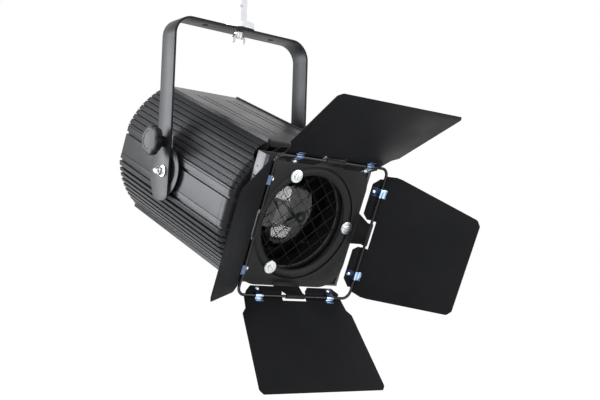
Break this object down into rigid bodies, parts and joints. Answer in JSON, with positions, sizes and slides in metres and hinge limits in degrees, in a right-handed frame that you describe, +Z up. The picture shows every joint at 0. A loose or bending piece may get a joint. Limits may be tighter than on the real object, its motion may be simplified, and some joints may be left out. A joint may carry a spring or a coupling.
{
  "type": "led theatre spotlight",
  "caption": "Theatre spotlight with a ribbed housing in a yoke, spigot, sliding plano-convex lens, wire guard and a turning barn door with hinged leaves.",
  "frame": {"origin": "centre of the spigot's top end face", "axes": "+Z up along the spigot and pan axis; X along the yoke's crossbar and the tilt axis; the lamp looks towards -Y, 23.18 degrees below level"},
  "size_m": [0.4656, 0.6416, 0.7188],
  "materials": {
    "black_coat": "satin",
    "black_aluminium": "satin",
    "leaf_black": "matte",
    "inner_black": "matte",
    "black_plastic": "matte",
    "zinc": "satin",
    "blue_zinc": "satin",
    "bare_aluminium": "satin",
    "glass": "polished",
    "board": "satin",
    "emitter": "satin",
    "display": "gloss"
  },
  "bodies": {
    "hanging_spigot": {"spigot": "zinc"},
    "wing_bolt": {"wing_bolt": "zinc"},
    "yoke": {"yoke": "black_coat", "pivot_washer_left": "zinc", "pivot_washer_right": "zinc", "clamp_claw": "zinc"},
    "tilt_clamp": {"clamp_knob": "black_plastic", "clamp_stud": "zinc"},
    "housing": {"side_shell_left": "black_aluminium", "side_shell_right": "black_aluminium", "top_cover": "black_aluminium", "bottom_cover": "black_aluminium", "front_bezel": "inner_black", "rear_panel": "black_aluminium", "rail_frame": "bare_aluminium", "tilt_disc_left": "zinc", "tilt_disc_right": "zinc", "pivot_bolt_left": "zinc", "pivot_bolt_right": "zinc", "accessory_holder": "black_aluminium", "catch_pin": "zinc", "wire_guard": "black_coat", "barn_door_carrier": "black_coat", "bearing_ring": "black_coat", "ring_retainer_1": "zinc", "ring_retainer_2": "zinc", "ring_retainer_3": "zinc", "heat_sink": "bare_aluminium", "led_board": "emitter", "light_cone": "bare_aluminium", "fan_frame": "black_plastic", "power_supply": "bare_aluminium", "control_board": "board", "display_window": "display", "power_inlet": "blue_zinc", "data_sockets": "zinc"},
    "focus_drive": {"focus_knob": "black_plastic", "focus_spindle": "zinc"},
    "lens_travel": {"lens_carriage": "inner_black", "lens": "glass", "lens_ring": "bare_aluminium"},
    "fan": {"fan_rotor": "black_plastic"},
    "menu": {"menu_knob": "black_plastic"},
    "catch": {"accessory_catch": "zinc"},
    "barn_door": {"barn_door_plate": "black_coat", "barn_door_rod": "black_coat"},
    "top_leaf": {"leaf_top": "leaf_black", "leaf_top_clip_1": "blue_zinc", "leaf_top_clip_2": "blue_zinc"},
    "right_leaf": {"leaf_right": "leaf_black", "leaf_right_clip_1": "blue_zinc", "leaf_right_clip_2": "blue_zinc"},
    "bottom_leaf": {"leaf_bottom": "leaf_black", "leaf_bottom_clip_1": "blue_zinc", "leaf_bottom_clip_2": "blue_zinc"},
    "left_leaf": {"leaf_left": "leaf_black", "leaf_left_clip_1": "blue_zinc", "leaf_left_clip_2": "blue_zinc"}
  },
  "joints": [
    {"name": "pan", "type": "hinge", "parent": "hanging_spigot", "child": "yoke", "pos_m": [0, 0, -0.3648], "axis": [0, 0, 1], "continuous": true},
    {"name": "wing_bolt_turn", "type": "hinge", "parent": "hanging_spigot", "child": "wing_bolt", "pos_m": [0, 0, -0.08], "axis": [0, 0, 1], "continuous": true},
    {"name": "tilt", "type": "hinge", "parent": "yoke", "child": "housing", "pos_m": [0, 0, -0.3648], "axis": [1, 0, 0], "range_deg": [-58.18, 66.82]},
    {"name": "clamp_turn", "type": "hinge", "parent": "yoke", "child": "tilt_clamp", "pos_m": [-0.1475, 0, -0.3143], "axis": [1, 0, 0], "range_deg": [-540, 180]},
    {"name": "focus", "type": "hinge", "parent": "housing", "child": "focus_drive", "pos_m": [0.078, 0.18206, -0.35429], "axis": [0, -0.9193, -0.3936], "range_deg": [-1442, 362]},
    {"name": "lens_slide", "type": "slide", "parent": "housing", "child": "lens_travel", "axis": [0, -0.9193, -0.3936], "range_m": [-0.06, 0.015]},
    {"name": "fan_spin", "type": "hinge", "parent": "housing", "child": "fan", "pos_m": [0, 0.13789, -0.30576], "axis": [0, -0.9193, -0.3936], "continuous": true},
    {"name": "menu_turn", "type": "hinge", "parent": "housing", "child": "menu", "pos_m": [0.03, 0.12695, -0.22559], "axis": [0, -0.9193, -0.3936], "continuous": true},
    {"name": "catch_lift", "type": "hinge", "parent": "housing", "child": "catch", "pos_m": [0, -0.23057, -0.34332], "axis": [-1, 0, 0], "range_deg": [0, 60], "stiffness_Nm_per_rad": 0.12, "springref_deg": -34.38},
    {"name": "barn_door_turn", "type": "hinge", "parent": "housing", "child": "barn_door", "pos_m": [0, -0.23166, -0.46399], "axis": [0, -0.9193, -0.3936], "continuous": true},
    {"name": "right_leaf_hinge", "type": "hinge", "parent": "barn_door", "child": "right_leaf", "pos_m": [0.1165, -0.23166, -0.46399], "axis": [0, 0.3936, -0.9193], "range_deg": [-55, 123.5]},
    {"name": "top_leaf_hinge", "type": "hinge", "parent": "barn_door", "child": "top_leaf", "pos_m": [0, -0.27751, -0.3569], "axis": [1, 0, 0], "range_deg": [-44, 125.5]},
    {"name": "left_leaf_hinge", "type": "hinge", "parent": "barn_door", "child": "left_leaf", "pos_m": [-0.1165, -0.23166, -0.46399], "axis": [0, -0.3936, 0.9193], "range_deg": [-42, 138]},
    {"name": "bottom_leaf_hinge", "type": "hinge", "parent": "barn_door", "child": "bottom_leaf", "pos_m": [0, -0.1858, -0.57109], "axis": [-1, 0, 0], "range_deg": [-54.5, 98]}
  ],
  "couplings": [
    {"joint": "focus", "follows": "lens_slide", "rad_per_m": 418.88}
  ]
}
